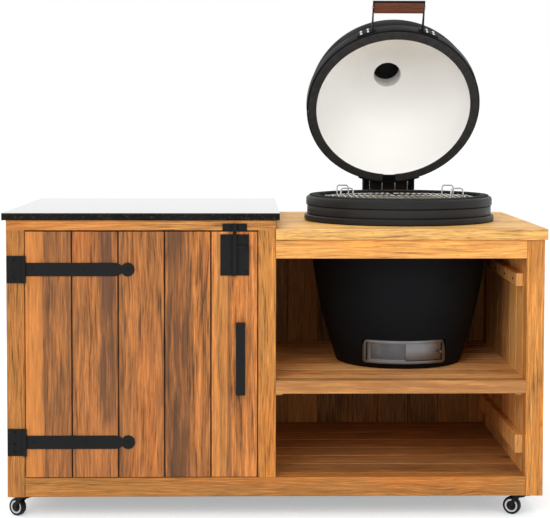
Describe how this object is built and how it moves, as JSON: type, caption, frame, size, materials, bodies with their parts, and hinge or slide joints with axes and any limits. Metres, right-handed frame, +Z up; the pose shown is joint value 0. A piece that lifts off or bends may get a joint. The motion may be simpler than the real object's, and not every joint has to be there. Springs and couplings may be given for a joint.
{
  "type": "kamado grill table",
  "caption": "Planked wooden cabinet on casters with a stone top and door, beside an open bay whose shelf carries a ceramic kamado grill with its lid open.",
  "frame": {"origin": "middle of the underside of the bounding box, on the ground between the casters", "axes": "+Z up, +X to the right along the table's length, +Y to the back; the door and the grill's draft vent face -Y"},
  "size_m": [1.518, 0.8568, 1.4853],
  "materials": {
    "teak": "oiled, satin, with knots and grey streaks",
    "pale_teak": "oiled, satin, clean boards",
    "dark_teak": "oiled boards in shade",
    "granite": "black, polished",
    "black_steel": "black powder coat, satin",
    "stainless": "satin stainless",
    "black_ceramic": "black glaze with a fine texture outside, pale glaze inside",
    "fire_clay": "bare fire clay",
    "felt": "grey felt",
    "cast_iron": "black, matt",
    "handle_wood": "reddish brown stained wood",
    "tyre_rubber": "black tread on a black wheel"
  },
  "bodies": {
    "table": {"post_front_left": "teak", "post_front_middle": "teak", "post_front_right": "teak", "post_back_left": "teak", "post_back_middle": "teak", "post_back_right": "teak", "rail_bottom_front": "teak", "rail_bottom_back": "teak", "rail_bottom_left": "teak", "rail_bottom_right": "teak", "top_frame": "teak", "apron_front": "pale_teak", "worktop": "pale_teak", "back_panel": "dark_teak", "side_panel_right": "dark_teak", "side_panel_left": "dark_teak", "partition": "dark_teak", "floor": "dark_teak", "grill_shelf": "dark_teak", "granite_top": "granite", "hinge_butt_lower": "black_steel", "hinge_butt_upper": "black_steel", "latch_keeper": "black_steel", "base_band": "black_steel", "caster_plate_front_left": "black_steel", "caster_plate_front_right": "black_steel", "caster_plate_back_left": "black_steel", "caster_plate_back_right": "black_steel", "draft_frame": "stainless", "base_shell": "black_ceramic", "fire_bowl": "fire_clay", "fire_ring": "fire_clay", "base_gasket": "felt", "charcoal_grate": "cast_iron"},
    "door": {"door": "teak", "hinge_strap_lower": "black_steel", "hinge_strap_upper": "black_steel", "door_pull": "black_steel", "latch_body": "black_steel"},
    "bolt": {"latch_bolt": "black_steel"},
    "lid": {"lid_shell": "black_ceramic", "lid_gasket": "felt", "lid_band": "black_steel", "hinge_spring_left": "stainless", "hinge_spring_right": "stainless", "handle_bracket": "black_steel", "handle_bar": "handle_wood", "vent_cap": "cast_iron"},
    "top_vent": {"vent_wheel": "cast_iron"},
    "draft_door": {"draft_door": "stainless"},
    "grate_left": {"cooking_grate_left": "stainless"},
    "grate_right": {"cooking_grate_right": "stainless"},
    "fork_front_left": {"caster_fork_front_left": "black_steel"},
    "wheel_front_left": {"caster_wheel_front_left": "tyre_rubber"},
    "fork_front_right": {"caster_fork_front_right": "black_steel"},
    "wheel_front_right": {"caster_wheel_front_right": "tyre_rubber"},
    "fork_back_left": {"caster_fork_back_left": "black_steel"},
    "wheel_back_left": {"caster_wheel_back_left": "tyre_rubber"},
    "fork_back_right": {"caster_fork_back_right": "black_steel"},
    "wheel_back_right": {"caster_wheel_back_right": "tyre_rubber"}
  },
  "joints": [
    {"name": "door_hinge", "type": "hinge", "parent": "table", "child": "door", "pos_m": [-0.698, -0.40043, 0.464], "axis": [0, 0, -1], "range_deg": [0, 170]},
    {"name": "bolt_slide", "type": "slide", "parent": "door", "child": "bolt", "axis": [0, 0, 1], "range_m": [0, 0.015]},
    {"name": "lid_hinge", "type": "hinge", "parent": "table", "child": "lid", "pos_m": [0.38, 0.27707, 0.8803], "axis": [1, 0, 0], "range_deg": [0, 60.5], "stiffness_Nm_per_rad": 41, "springref_deg": -15.47},
    {"name": "top_vent_turn", "type": "hinge", "parent": "lid", "child": "top_vent", "pos_m": [0.38, 0.39191, 1.2957], "axis": [0, 0.8704, 0.4924], "range_deg": [-36, 36]},
    {"name": "draft_door_slide", "type": "hinge", "parent": "table", "child": "draft_door", "pos_m": [0.38, -0.02793, 0.4423], "axis": [0, 0, 1], "range_deg": [-33, 0]},
    {"name": "grate_lift_left", "type": "slide", "parent": "table", "child": "grate_left", "axis": [0, 0, 1], "range_m": [0, 0.03]},
    {"name": "grate_lift_right", "type": "slide", "parent": "table", "child": "grate_right", "axis": [0, 0, 1], "range_m": [0, 0.03]},
    {"name": "swivel_front_left", "type": "hinge", "parent": "table", "child": "fork_front_left", "pos_m": [-0.711, -0.35643, 0.056], "axis": [0, 0, 1], "continuous": true},
    {"name": "roll_front_left", "type": "hinge", "parent": "fork_front_left", "child": "wheel_front_left", "pos_m": [-0.72796, -0.34583, 0.025], "axis": [0.5299, 0.848, 0], "continuous": true},
    {"name": "swivel_front_right", "type": "hinge", "parent": "table", "child": "fork_front_right", "pos_m": [0.692, -0.35643, 0.056], "axis": [0, 0, 1], "continuous": true},
    {"name": "roll_front_right", "type": "hinge", "parent": "fork_front_right", "child": "wheel_front_right", "pos_m": [0.67434, -0.34704, 0.025], "axis": [0.4695, 0.8829, 0], "continuous": true},
    {"name": "swivel_back_left", "type": "hinge", "parent": "table", "child": "fork_back_left", "pos_m": [-0.711, 0.28557, 0.056], "axis": [0, 0, 1], "continuous": true},
    {"name": "roll_back_left", "type": "hinge", "parent": "fork_back_left", "child": "wheel_back_left", "pos_m": [-0.69287, 0.29403, 0.025], "axis": [0.4226, -0.9063, 0], "continuous": true},
    {"name": "swivel_back_right", "type": "hinge", "parent": "table", "child": "fork_back_right", "pos_m": [0.692, 0.28557, 0.056], "axis": [0, 0, 1], "continuous": true},
    {"name": "roll_back_right", "type": "hinge", "parent": "fork_back_right", "child": "wheel_back_right", "pos_m": [0.67387, 0.27712, 0.025], "axis": [-0.4226, 0.9063, 0], "continuous": true}
  ]
}
